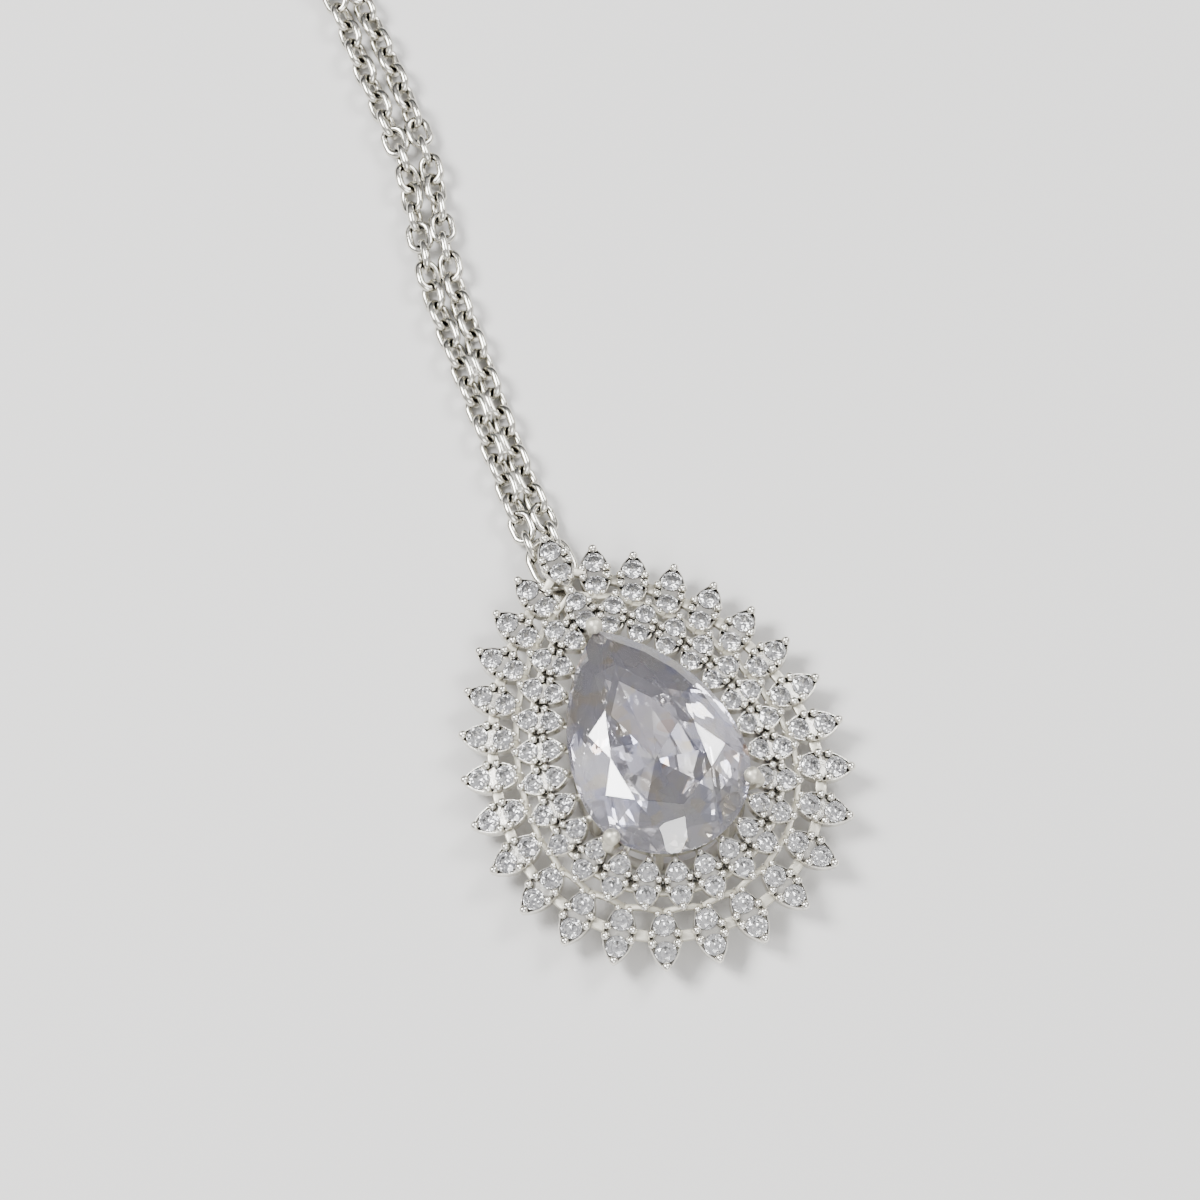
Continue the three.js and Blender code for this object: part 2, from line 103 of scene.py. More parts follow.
# Rhodium over cast brass: near white and a little warm, with a faint waviness left by the casting. The settings are
# polished, while the basket, the bars and the claws keep the satin skin of the casting. The colour has painted shade
# in it: darker towards the back, where less light reaches, and darker in every corner where other metal stands close.
CAST_WAVE = 0.35
CAST_GRAIN = 0.09
NOISE_SPREAD = {"From Min": 0.3, "From Max": 0.7}
SHADE_TOWARDS_BACK = {"From Min": 0.2 * MM, "From Max": 2.6 * MM}
CORNER_REACH = 0.4


def with_corner_shade(nodes, colour):
    """The colour with painted shade, darkened where other metal or a stone stands close."""
    corners = add(nodes, "ShaderNodeAmbientOcclusion", {"Distance": CORNER_REACH * MM}, samples=8)
    corner_shade = add(nodes, "ShaderNodeValToRGB", {"Fac": corners.outputs["AO"]})
    fill_ramp(corner_shade.color_ramp, [(0.3, "#403C33"), (0.84, "#FFFFFF")])
    corner_shaded = add(
        nodes,
        "ShaderNodeMixRGB",
        {"Fac": 1.0, "Color1": colour, "Color2": corner_shade.outputs["Color"]},
        blend_type="MULTIPLY",
    )
    return corner_shaded.outputs["Color"]


def cast_metal(name, brightest, smooth, rough, grain_height):
    """Cast and plated metal of that colour, whose roughness wanders between two values."""
    material, nodes = empty_material(name)
    position = add(nodes, "ShaderNodeTexCoord").outputs["Object"]
    wave = add(nodes, "ShaderNodeTexNoise", {"Vector": position, "Scale": 1 / (CAST_WAVE * MM), "Detail": 2.0})
    grain = add(nodes, "ShaderNodeTexNoise", {"Vector": position, "Scale": 1 / (CAST_GRAIN * MM), "Detail": 3.0})
    # Painted shade: the metal's colour goes darker towards the back of the jewel, where less light reaches.
    height = add(nodes, "ShaderNodeSeparateXYZ", {"Vector": position}).outputs["Z"]
    light_by_height = add(nodes, "ShaderNodeMapRange", {"Value": height, **SHADE_TOWARDS_BACK})
    colour = add(nodes, "ShaderNodeValToRGB", {"Fac": light_by_height.outputs["Result"]})
    fill_ramp(colour.color_ramp, [(0.0, "#A9A69E"), (1.0, brightest)])
    gloss = add(
        nodes,
        "ShaderNodeMapRange",
        {"Value": wave.outputs["Fac"], **NOISE_SPREAD, "To Min": smooth, "To Max": rough},
    )
    relief = add(
        nodes,
        "ShaderNodeBump",
        {"Height": grain.outputs["Fac"], "Strength": 0.35, "Distance": grain_height * MM},
    )
    shader = add(
        nodes,
        "ShaderNodeBsdfPrincipled",
        {
            "Base Color": with_corner_shade(nodes, colour.outputs["Color"]),
            "Metallic": 1.0,
            "Roughness": gloss.outputs["Result"],
            "Normal": relief.outputs["Normal"],
        },
    )
    add(nodes, "ShaderNodeOutputMaterial", {"Surface": shader.outputs["BSDF"]})
    return material


rhodium_cast = cast_metal("rhodium_plated_casting", "#EDEAE1", 0.14, 0.28, 0.02)
rhodium_skin = cast_metal("rhodium_plated_casting_skin", "#DAD6C8", 0.38, 0.55, 0.06)


def pear_place(offset, distance):
    """The place a distance along from the point of an outline outside the stone's, to the left if negative."""
    flank_radius = FLANK_RADIUS + offset
    round_radius = STONE_RADIUS + offset
    point_angle = math.acos(FLANK_CENTRE / flank_radius)
    side = -1 if distance < 0 else 1
    past_flank = abs(distance) - flank_radius * point_angle
    if past_flank <= 0:
        angle = -past_flank / flank_radius
        return Vector((side * (flank_radius * math.cos(angle) - FLANK_CENTRE), flank_radius * math.sin(angle)))
    angle = -past_flank / round_radius
    return Vector((side * round_radius * math.cos(angle), round_radius * math.sin(angle)))


def pear_half(offset):
    """Half the way round that outline."""
    flank_radius = FLANK_RADIUS + offset
    return flank_radius * math.acos(FLANK_CENTRE / flank_radius) + (STONE_RADIUS + offset) * math.pi / 2


def pear_ring(offset, count, phase=0.0):
    """Places spread evenly all the way round it, from the point or a share of a step after it."""
    turns = [((i + phase) / count) * 2 for i in range(count)]
    return [pear_place(offset, (turn - 2 if turn > 1 else turn) * pear_half(offset)) for turn in turns]


def in_metres(points):
    """Points in millimetres about the middle of the big stone's round end, as places in the scene."""
    return [(x * MM, (y + PEAR_Y) * MM, z * MM) for x, y, z in points]


def new_piece(name, points, faces, material, crease=35):
    """A piece made of those points and faces, with its faces turned outwards."""
    mesh = bpy.data.meshes.new(name)
    mesh.from_pydata(in_metres(points), [], faces)
    shape = bmesh.new()
    shape.from_mesh(mesh)
    bmesh.ops.recalc_face_normals(shape, faces=shape.faces)
    shape.to_mesh(mesh)
    shape.free()
    mesh.shade_smooth()
    mesh.set_sharp_from_angle(angle=math.radians(crease))
    mesh.materials.append(material)
    piece = bpy.data.objects.new(name, mesh)
    bpy.context.scene.collection.objects.link(piece)
    return piece


def rounded_section(width, bottom, top, corner):
    """A closed section of distance sideways and height, with three points round each corner."""
    reach = width / 2 - corner
    middles = [(reach, top - corner, 0), (-reach, top - corner, 90)]
    middles += [(-reach, bottom + corner, 180), (reach, bottom + corner, 270)]
    section = []
    for x, z, start in middles:
        for turn in (0, 45, 90):
            angle = math.radians(start + turn)
            section.append((x + corner * math.cos(angle), z + corner * math.sin(angle)))
    return section


def pear_band(name, section, material):
    """A band of that section, swept round the basket's outline."""
    points = [(p.x, p.y, z) for out, z in section for p in pear_ring(BASKET_OFFSET + out, RAIL_SAMPLES)]
    faces = []
    for row in range(len(section)):
        here, after = row * RAIL_SAMPLES, (row + 1) % len(section) * RAIL_SAMPLES
        for i in range(RAIL_SAMPLES):
            following = (i + 1) % RAIL_SAMPLES
            faces.append((here + i, here + following, after + following, after + i))
    return new_piece(name, points, faces, material)


def tube_faces(rows, sides):
    """The faces of a tube through rows of that many points, closed at both ends."""
    faces = []
    for row in range(rows - 1):
        for i in range(sides):
            following = (i + 1) % sides
            a, b = row * sides, (row + 1) * sides
            faces.append((a + i, a + following, b + following, b + i))
    faces.append(tuple(range(sides))[::-1])
    faces.append(tuple((rows - 1) * sides + i for i in range(sides)))
    return faces


def rod(rows, sides, centre, lean=(0, 0)):
    """An upright rod through rings of points, each with its radius, its height and its shift along the lean."""
    points = []
    for radius, height, shift in rows:
        for i in range(sides):
            angle = 2 * math.pi * i / sides
            x = centre[0] + shift * lean[0] + radius * math.cos(angle)
            points.append((x, centre[1] + shift * lean[1] + radius * math.sin(angle), height))
    return points, tube_faces(len(rows), sides)


def joined(shapes):
    """The points and the faces of several shapes, as those of one."""
    points, faces = [], []
    for shape_points, shape_faces in shapes:
        faces += [tuple(len(points) + i for i in face) for face in shape_faces]
        points += shape_points
    return points, faces


base_rail = pear_band("base_rail", rounded_section(**BASE_RAIL), rhodium_skin)
gallery_rail = pear_band("gallery_rail", rounded_section(**GALLERY_RAIL), rhodium_skin)
rows = [(BASKET_POSTS["wire"] / 2, z, 0) for z in (BASE_RAIL["top"] / 2, GALLERY_MIDDLE)]
places = pear_ring(BASKET_OFFSET, BASKET_POSTS["count"], phase=0.5)
posts = [rod(rows, BASKET_POSTS["sides"], place) for place in places]
basket_posts = new_piece("basket_posts", *joined(posts), rhodium_skin)
for piece in (base_rail, gallery_rail, basket_posts):
    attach(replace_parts(piece, "pendant_frame"), "root")

# Pointed settings: 26 low ones outside and 26 higher ones inside, cast brass with rhodium plate. Each is a
# pointed oval with a raised rim, two drilled seats for round stones, and beads raised from the metal to hold them.
SETTING_SLOPE = 9.0
SETTING_CREASE = 30
OVAL_SAMPLES = 14
SEAT_SIDES = 14
SETTINGS_PER_RING = 26
RING_SHIFT = 0.3
# How far along its outline the outer ring starts, past the top setting, and how much its sides crowd towards that.
OUTER_FIRST = 2.95
OUTER_CROWDING = 1.0
# The settings of a ring point away from a place on the pendant's middle line: the aim near the round end, and
# further up by the rise near the point, where it fades in over a distance along the outline.
OUTER = {"length": 5.15, "width": 2.6, "offset": 6.1, "height": 2.83, "aim": 1.8, "rise": 20, "fade": 4.2}
INNER = {"length": 4.35, "width": 2.35, "offset": 2.15, "height": 4.5, "aim": 0.8, "rise": 15, "fade": 7}
TOP_SETTING = {"behind_ring": 0.9, "height": 3.6}
# A setting's outline on its way up the side, over the rim and down inside it: how far it is drawn in, and its height.
SETTING_BODY = [(0.14, -1.0), (0.0, -0.84), (0.0, -0.08), (0.05, 0.0), (0.12, 0.0), (0.16, -0.14)]
OUTER_SEATS = {"spacing": 2.16, "radius": 0.86, "narrow": 0.36, "depth": 0.7}
INNER_SEATS = {"spacing": 1.84, "radius": 0.79, "narrow": 0.32, "depth": 0.62}
# A bead's place sideways and towards the outer tip, and its radius. Those off the middle line come in pairs.
OUTER_BEADS = [(0, 2.24, 0.38), (1.02, 0.42, 0.36), (1.02, -0.42, 0.36), (0.5, -1.98, 0.3)]
INNER_BEADS = [(0, 1.88, 0.35), (0.92, 0.37, 0.33), (0.92, -0.37, 0.33), (0, -1.9, 0.3)]
BEAD_LIFT = 0.2


def pointed_oval(length, width, inset):
    """Two arcs that meet in a point at either end, drawn in by an inset."""
    arc = (length**2 + width**2) / (4 * width)
    reach = arc - width / 2
    half = math.acos(reach / (arc - inset))
    points = []
    for side in (1, -1):
        for i in range(OVAL_SAMPLES):
            angle = half * (2 * i / OVAL_SAMPLES - 1)
            x, y = (arc - inset) * math.cos(angle) - reach, (arc - inset) * math.sin(angle)
            points.append(Vector((side * x, side * y)))
    return points


def setting_shape(name, ring, seats, beads):
    """One setting about the middle of its top, its outer tip towards +Y, sloped as it sits in its ring."""
    shape = bmesh.new()
    loops = []
    for inset, z in SETTING_BODY:
        oval = pointed_oval(ring["length"], ring["width"], inset)
        loops.append([shape.verts.new((p.x, p.y, z)) for p in oval])
    for lower, upper in zip(loops, loops[1:]):
        for i in range(len(lower)):
            following = (i + 1) % len(lower)
            shape.faces.new((lower[i], lower[following], upper[following], upper[i]))
    shape.faces.new(loops[0][::-1])
    floor = SETTING_BODY[-1][1]
    rims = [loops[-1]]
    for y in (seats["spacing"] / 2, -seats["spacing"] / 2):
        rows = []
        for radius, z in ((seats["radius"], floor), (seats["narrow"], floor - seats["depth"])):
            turns = [2 * math.pi * i / SEAT_SIDES for i in range(SEAT_SIDES)]
            rows.append([shape.verts.new((radius * math.cos(t), y + radius * math.sin(t), z)) for t in turns])
        for i in range(SEAT_SIDES):
            following = (i + 1) % SEAT_SIDES
            shape.faces.new((rows[0][i], rows[0][following], rows[1][following], rows[1][i]))
        shape.faces.new(rows[1])
        rims.append(rows[0])
    edges = []
    for rim in rims:
        for i in range(len(rim)):
            edges.append(shape.edges.get((rim[i], rim[(i + 1) % len(rim)])))
    bmesh.ops.triangle_fill(shape, use_beauty=True, use_dissolve=False, edges=edges)
    bmesh.ops.recalc_face_normals(shape, faces=shape.faces)
    for x, y, radius in beads:
        for side in (1, -1) if x else (1,):
            bead = bmesh.ops.create_uvsphere(shape, u_segments=10, v_segments=8, radius=radius)
            bmesh.ops.translate(shape, verts=bead["verts"], vec=(side * x, y, BEAD_LIFT))
    return finished_shape(name, shape, slope=SETTING_SLOPE, crease=SETTING_CREASE)


def in_order(elements, place):
    """Sorts points or faces by place, to four decimals, because a sphere's come in another order in each run."""
    for i, element in enumerate(sorted(elements, key=lambda element: [round(c, 4) for c in place(element)])):
        element.index = i
    elements.sort()


def finished_shape(name, shape, slope, crease):
    """The shape that a tree copies, tipped down towards +Y by its slope and turned to metres."""
    in_order(shape.verts, lambda vertex: vertex.co)
    in_order(shape.faces, lambda face: face.calc_center_median())
    tip = Euler((-math.radians(slope), 0, 0)).to_matrix()
    for vertex in shape.verts:
        vertex.co = tip @ vertex.co * MM
    mesh = bpy.data.meshes.new(name)
    shape.to_mesh(mesh)
    shape.free()
    mesh.shade_smooth()
    mesh.set_sharp_from_angle(angle=math.radians(crease))
    source = bpy.data.objects.new(name, mesh)
    bpy.context.scene.collection.objects.link(source)
    return source


def setting_place(ring, distance):
    """Where a ring has a setting: its middle, the way its outer tip points, and the height of its top."""
    middle = pear_place(ring["offset"], distance)
    middle.y += RING_SHIFT
    aim = ring["aim"] + ring["rise"] * math.exp(-abs(distance) / ring["fade"])
    outwards = (middle - Vector((0, aim))).normalized()
    return {"middle": middle, "outwards": outwards, "height": ring["height"]}


def on_setting(place, outwards, drop):
    """A point on a setting's middle line, a distance outwards from its middle and a drop below its top."""
    slope = math.radians(SETTING_SLOPE)
    flat = place["middle"] + place["outwards"] * outwards * math.cos(slope)
    return Vector((flat.x, flat.y, place["height"] - outwards * math.sin(slope) - drop))


half_count = SETTINGS_PER_RING // 2
inner_step = pear_half(INNER["offset"]) / half_count
inner_places = [
    setting_place(INNER, (i if i <= half_count else i - SETTINGS_PER_RING) * inner_step)
    for i in range(SETTINGS_PER_RING)
]
outer_step = (pear_half(OUTER["offset"]) - OUTER_FIRST) / (half_count - 0.5)
outer_distances = [
    OUTER_FIRST + i * outer_step - OUTER_CROWDING * math.sin(math.pi * i / (half_count - 1))
    for i in range(half_count)
]
outer_places = [setting_place(OUTER, distance) for distance in outer_distances]
outer_places += [setting_place(OUTER, -distance) for distance in outer_distances[::-1]]
ring_low, ring_high = (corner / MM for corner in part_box("jump_ring"))
ring_y = (ring_low.y + ring_high.y) / 2 - PEAR_Y
top_middle = Vector((0, ring_y - TOP_SETTING["behind_ring"]))
top_place = {"middle": top_middle, "outwards": Vector((0, 1)), "height": TOP_SETTING["height"]}


def new_tree(name, inputs):
    """A geometry tree with a geometry input, its named inputs, and one geometry output."""
    tree = bpy.data.node_groups.new(name, "GeometryNodeTree")
    for label, kind in [("Marks", "NodeSocketGeometry"), *inputs]:
        tree.interface.new_socket(label, in_out="INPUT", socket_type=kind)
    tree.interface.new_socket("Result", in_out="OUTPUT", socket_type="NodeSocketGeometry")
    return tree, add(tree, "NodeGroupInput").outputs


def end_tree(tree, geometry, finish):
    """Realizes the instances and gives the result its material."""
    real = add(tree, "GeometryNodeRealizeInstances", {"Geometry": geometry})
    done = add(tree, "GeometryNodeSetMaterial", {"Geometry": real.outputs["Geometry"], "Material": finish})
    add(tree, "NodeGroupOutput", {"Result": done.outputs["Geometry"]})


def copy_on_marks(tree, places, shape, finish):
    """Ends a tree with copies of a shape, one on each mark and turned as the mark says."""
    turn = add(tree, "GeometryNodeInputNamedAttribute", {"Name": "turn"}, data_type="FLOAT_VECTOR")
    rotation = add(tree, "FunctionNodeEulerToRotation", {"Euler": turn.outputs["Attribute"]})
    copied = add(
        tree,
        "GeometryNodeInstanceOnPoints",
        {"Points": places, "Instance": shape, "Rotation": rotation.outputs["Rotation"]},
    )
    end_tree(tree, copied.outputs["Instances"], finish)


copies_tree, given = new_tree("Copies on marks", [("Shape", "NodeSocketObject"), ("Finish", "NodeSocketMaterial")])
copied_shape = add(copies_tree, "GeometryNodeObjectInfo", {"Object": given["Shape"]})
copy_on_marks(copies_tree, given["Marks"], copied_shape.outputs["Geometry"], given["Finish"])


def marks(points, turns):
    """Points with the turn of what stands on each, as angles about X, Y and Z."""
    mesh = bpy.data.meshes.new("marks")
    mesh.from_pydata(in_metres(points), [], [])
    attribute = mesh.attributes.new("turn", "FLOAT_VECTOR", "POINT")
    attribute.data.foreach_set("vector", [angle for turn in turns for angle in turn])
    return mesh


def grown(name, mesh, tree, slot, **inputs):
    """Runs a tree on a mesh and keeps the result as a plain mesh that rides on the jewel."""
    start = bpy.data.objects.new(name + "_marks", mesh)
    bpy.context.scene.collection.objects.link(start)
    modifier = start.modifiers.new(name, "NODES")
    modifier.node_group = tree
    for item in tree.interface.items_tree:
        label = item.name.lower()
        if item.in_out == "INPUT" and label in inputs:
            modifier[item.identifier] = inputs[label]
    result = bpy.data.meshes.new_from_object(start.evaluated_get(bpy.context.evaluated_depsgraph_get()))
    result.name = name
    piece = bpy.data.objects.new(name, result)
    bpy.context.scene.collection.objects.link(piece)
    start.modifiers.remove(modifier)
    bpy.data.objects.remove(start)
    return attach(piece, "root")


def place_marks(places):
    """A mark for the top of each setting."""
    points = [(p["middle"].x, p["middle"].y, p["height"]) for p in places]
    return marks(points, [(0, 0, math.atan2(-p["outwards"].x, p["outwards"].y)) for p in places])


outer_setting = setting_shape("outer_setting", OUTER, OUTER_SEATS, OUTER_BEADS)
inner_setting = setting_shape("inner_setting", INNER, INNER_SEATS, INNER_BEADS)
setting_rings = [
    ("outer_settings", outer_places, outer_setting),
    ("inner_settings", inner_places, inner_setting),
    ("top_setting", [top_place], outer_setting),
]
for name, places, shape in setting_rings:
    piece = grown(name, place_marks(places), copies_tree, "plated_frame", shape=shape, finish=rhodium_cast)
    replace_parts(piece, "pendant_frame")
for shape in (outer_setting, inner_setting):
    bpy.data.objects.remove(shape)

# Small stones: round brilliant-cut cubic zirconia, two to a setting, 1.7 mm across outside and 1.6 mm inside.
# They drop into the drilled seats, and the beads are pushed over their edges. Cubic zirconia is clear and bends
# light more than glass does, so its back facets flash white and dark.
CUBIC_ZIRCONIA_IOR = 2.16
# Rows of corners, as shares of the radius: how far out, how high, how many, and their turn in steps.
CROWN_ROWS = [(0.55, 0.32, 8, 0.0), (0.82, 0.2, 8, 0.5), (1.0, 0.02, 16, 0.0)]
BACK_ROWS = [(1.0, -0.04, 16, 0.0), (0.62, -0.38, 8, 0.5), (0.0, -0.82, 1, 0.0)]
OUTER_STONE = {"radius": 0.87, "lift": -0.05}
INNER_STONE = {"radius": 0.8, "lift": -0.05}
SAME_FACET = 0.01

small_zirconia, nodes = empty_material("small_cubic_zirconia")
shader = add(
    nodes,
    "ShaderNodeBsdfPrincipled",
    {
        "Base Color": linear("#FFFFFF"),
        "Roughness": 0.0,
        "IOR": CUBIC_ZIRCONIA_IOR,
        "Transmission Weight": 0.98,
    },
)
add(nodes, "ShaderNodeOutputMaterial", {"Surface": shader.outputs["BSDF"]})


def brilliant_shape(name, spacing, radius, lift):
    """A pair of round stones as they sit in one setting."""
    pair = bmesh.new()
    for y in (spacing / 2, -spacing / 2):
        stone = bmesh.new()
        for share, height, count, phase in CROWN_ROWS + BACK_ROWS:
            for i in range(count):
                angle = 2 * math.pi * (i + phase) / count
                spread = share * radius
                stone.verts.new((spread * math.cos(angle), y + spread * math.sin(angle), height * radius + lift))
        bmesh.ops.convex_hull(stone, input=stone.verts)
        bmesh.ops.dissolve_limit(stone, angle_limit=SAME_FACET, verts=stone.verts, edges=stone.edges)
        mesh = bpy.data.meshes.new(name)
        stone.to_mesh(mesh)
        stone.free()
        pair.from_mesh(mesh)
    return finished_shape(name, pair, slope=SETTING_SLOPE, crease=1)


outer_pair = brilliant_shape("outer_pair", OUTER_SEATS["spacing"], **OUTER_STONE)
inner_pair = brilliant_shape("inner_pair", INNER_SEATS["spacing"], **INNER_STONE)
stone_rings = [
    ("outer_stones", outer_places + [top_place], outer_pair),
    ("inner_stones", inner_places, inner_pair),
]
for name, places, shape in stone_rings:
    grown(name, place_marks(places), copies_tree, "clear_stone", shape=shape, finish=small_zirconia)
    bpy.data.objects.remove(shape)

# Bars: short flat bars of the same casting. A row of them ties the settings of each ring to each other, a zigzag
# of thin ones ties the rings together, stubs tie the inner ring to the gallery rail, and three hold the top setting.
OUTER_BAR = {"width": 0.88, "height": 0.62, "outwards": -0.15, "drop": 0.5}
INNER_BAR = {"width": 0.95, "height": 0.6, "outwards": 0.4, "drop": 0.5}
BAR_BITE = 0.3
BAR_CORNER = 0.12
STRUT = {"width": 0.5, "height": 0.5, "outer_inset": 0.4, "inner_inset": 0.35, "drop": 0.3}
STUB = {"width": 0.5, "height": 0.5, "inset": 0.4, "drop": 0.5}
TOP_BAR = {"width": 0.7, "height": 0.6, "outwards": -1.25, "inset": 0.25, "drop": 0.5}


def half_width(ring, outwards):
    """Half the width of a ring's settings at a distance outwards from their middle."""
    arc = (ring["length"] ** 2 + ring["width"] ** 2) / (4 * ring["width"])
    return math.sqrt(arc**2 - outwards**2) - arc + ring["width"] / 2


def flat_bar(start, end, width, height):
    """A bar with rounded edges between two places."""
    along = (end - start).normalized()
    across = along.cross(Vector((0, 0, 1))).normalized()
    up = across.cross(along)
    section = rounded_section(width, -height / 2, height / 2, BAR_CORNER)
    points = [tuple(place + across * x + up * z) for place in (start, end) for x, z in section]
    return points, tube_faces(2, len(section))


def side_bar(first, second, ring, form):
    """A bar from one setting's side to the next one's, or nothing where they touch."""
    a, b = (on_setting(place, form["outwards"], form["drop"]) for place in (first, second))
    inset = (b - a).normalized() * (half_width(ring, form["outwards"]) - BAR_BITE)
    if (b - a).length <= 2 * inset.length:
        return []
    return [flat_bar(a + inset, b - inset, form["width"], form["height"])]


bars, struts, stubs = [], [], []
for first, second in zip(inner_places, inner_places[1:] + inner_places[:1]):
    bars += side_bar(first, second, INNER, INNER_BAR)
for first, second in zip(outer_places, outer_places[1:]):
    bars += side_bar(first, second, OUTER, OUTER_BAR)
tail = on_setting(top_place, TOP_BAR["inset"] - OUTER["length"] / 2, TOP_BAR["drop"])
first_tip = on_setting(inner_places[0], INNER["length"] / 2 - TOP_BAR["inset"], TOP_BAR["drop"])
bars.append(flat_bar(tail, first_tip, TOP_BAR["width"], TOP_BAR["height"]))
for side, place in ((1, outer_places[0]), (-1, outer_places[-1])):
    start = on_setting(top_place, TOP_BAR["outwards"], TOP_BAR["drop"])
    start.x += side * (half_width(OUTER, TOP_BAR["outwards"]) - BAR_BITE)
    end = on_setting(place, OUTER_BAR["outwards"], TOP_BAR["drop"])
    end -= (end - start).normalized() * (half_width(OUTER, OUTER_BAR["outwards"]) - BAR_BITE)
    bars.append(flat_bar(start, end, TOP_BAR["width"], TOP_BAR["height"]))
inner_tips = [on_setting(place, INNER["length"] / 2 - STRUT["inner_inset"], STRUT["drop"]) for place in inner_places]
for place in outer_places:
    tip = on_setting(place, STRUT["outer_inset"] - OUTER["length"] / 2, STRUT["drop"])
    for nearest in sorted(inner_tips, key=lambda other: (other - tip).length)[:2]:
        struts.append(flat_bar(tip, nearest, STRUT["width"], STRUT["height"]))
for place, end in zip(inner_places, pear_ring(BASKET_OFFSET, SETTINGS_PER_RING)):
    tip = on_setting(place, STUB["inset"] - INNER["length"] / 2, STUB["drop"])
    stubs.append(flat_bar(tip, Vector((end.x, end.y, GALLERY_MIDDLE)), STUB["width"], STUB["height"]))
for name, shapes in (("bars", bars), ("struts", struts), ("stubs", stubs)):
    piece = new_piece(name, *joined(shapes), rhodium_skin)
    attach(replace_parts(piece, "pendant_frame"), "root")

# Claws: three rods of plated brass that rise from the gallery rail. Each swings out round the stone's edge, leans
# in over its crown and ends in a round bead that is pressed down on it.
GIRDLE_HEIGHT = 6.4
GIRDLE_BAND = 0.18
CLAW_ANGLES = (-30, 210)
CLAW_WIRE = 0.9
CLAW_SIDES = 16
CLAW_CLEARANCE = 0.3
CLAW_REACH = CLAW_CLEARANCE + CLAW_WIRE / 2
# A claw's middle line up to its neck: the height, and how far outside the stone's edge it is there.
CLAW_LINE = [
    (GALLERY_RAIL["bottom"], BASKET_OFFSET + 0.15),
    (GALLERY_MIDDLE, BASKET_OFFSET + 0.4),
    (GALLERY_RAIL["top"], 0.15),
    (GIRDLE_HEIGHT - 0.8, CLAW_REACH - 0.22),
    (GIRDLE_HEIGHT - 0.3, CLAW_REACH - 0.03),
    (GIRDLE_HEIGHT + 0.2, CLAW_REACH - 0.06),
]
CLAW_NECK = {"swell": 0.04, "drop": 0.42, "lean": 0.25}
CLAW_BEAD = {"radius": 0.7, "outwards": 0.15, "lift": 0.72, "turns": (-25, -5, 20, 40, 60, 78)}
CLAW_CREASE = 50

bead_height = GIRDLE_HEIGHT + GIRDLE_BAND + CLAW_BEAD["lift"]
rows = [(CLAW_WIRE / 2, height, shift) for height, shift in CLAW_LINE]
rows.append((CLAW_WIRE / 2 + CLAW_NECK["swell"], bead_height - CLAW_NECK["drop"], CLAW_REACH - CLAW_NECK["lean"]))
for degrees in CLAW_BEAD["turns"]:
    angle = math.radians(degrees)
    rise = CLAW_BEAD["radius"] * math.sin(angle)
    rows.append((CLAW_BEAD["radius"] * math.cos(angle), bead_height + rise, CLAW_BEAD["outwards"]))
claw_shapes = [rod(rows, CLAW_SIDES, (0, POINT_HEIGHT), (0, 1))]
for degrees in CLAW_ANGLES:
    outwards = Vector((math.cos(math.radians(degrees)), math.sin(math.radians(degrees))))
    claw_shapes.append(rod(rows, CLAW_SIDES, outwards * STONE_RADIUS, outwards))
claws = new_piece("claws", *joined(claw_shapes), rhodium_skin, crease=CLAW_CREASE)
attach(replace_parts(claws, "pendant_frame"), "root")

# Centre stone: a pear-cut cubic zirconia, 20 x 13.8 mm, with an eight-sided table, three rows of crown facets,
# a thin girdle and a pavilion whose facets meet in a culet. It sits on the gallery rail under the claws.
# It is clear and faintly lilac, and its colour carries painted fire: small warm and cool patches that stand in for
# the light its facets split.
# Rows of corners: how far outside the girdle, how far above or below it, how many, and their turn in steps.
CROWN = [(-3.1, 1.9, 8, 0.0), (-1.7, 1.33, 8, 0.5), (-0.8, 0.72, 16, 0.25)]
PAVILION = [(-0.95, 1.2, 20, 0.25), (-2.1, 2.3, 10, 0.5), (-3.5, 3.45, 10, 0.0)]
PAVILION_DEPTH = 5.6
CULET_Y = 1.6
GIRDLE_POINTS = 64
SAME_LARGE_FACET = 0.005
FIRE_PATCH = 1.2
FIRE = [
    (0.0, "#F8F5FF"),
    (0.35, "#FEFCFC"),
    (0.55, "#E2E3FF"),
    (0.7, "#FFF4E2"),
    (0.82, "#F7F4FF"),
    (0.95, "#FFD6BA"),
]

centre_zirconia, nodes = empty_material("centre_cubic_zirconia")
position = add(nodes, "ShaderNodeTexCoord").outputs["Object"]
# Painted fire: patches of warm and cool tint stand in for the coloured light that the facets split.
patches = add(nodes, "ShaderNodeTexVoronoi", {"Vector": position, "Scale": 1 / (FIRE_PATCH * MM)})
shade = add(nodes, "ShaderNodeSeparateColor", {"Color": patches.outputs["Color"]})
tint = add(nodes, "ShaderNodeValToRGB", {"Fac": shade.outputs["Red"]})
tint.color_ramp.interpolation = "CONSTANT"
fill_ramp(tint.color_ramp, FIRE)
shader = add(
    nodes,
    "ShaderNodeBsdfPrincipled",
    {
        "Base Color": tint.outputs["Color"],
        "Roughness": 0.0,
        "IOR": CUBIC_ZIRCONIA_IOR,
        "Transmission Weight": 0.94,
    },
)
add(nodes, "ShaderNodeOutputMaterial", {"Surface": shader.outputs["BSDF"]})

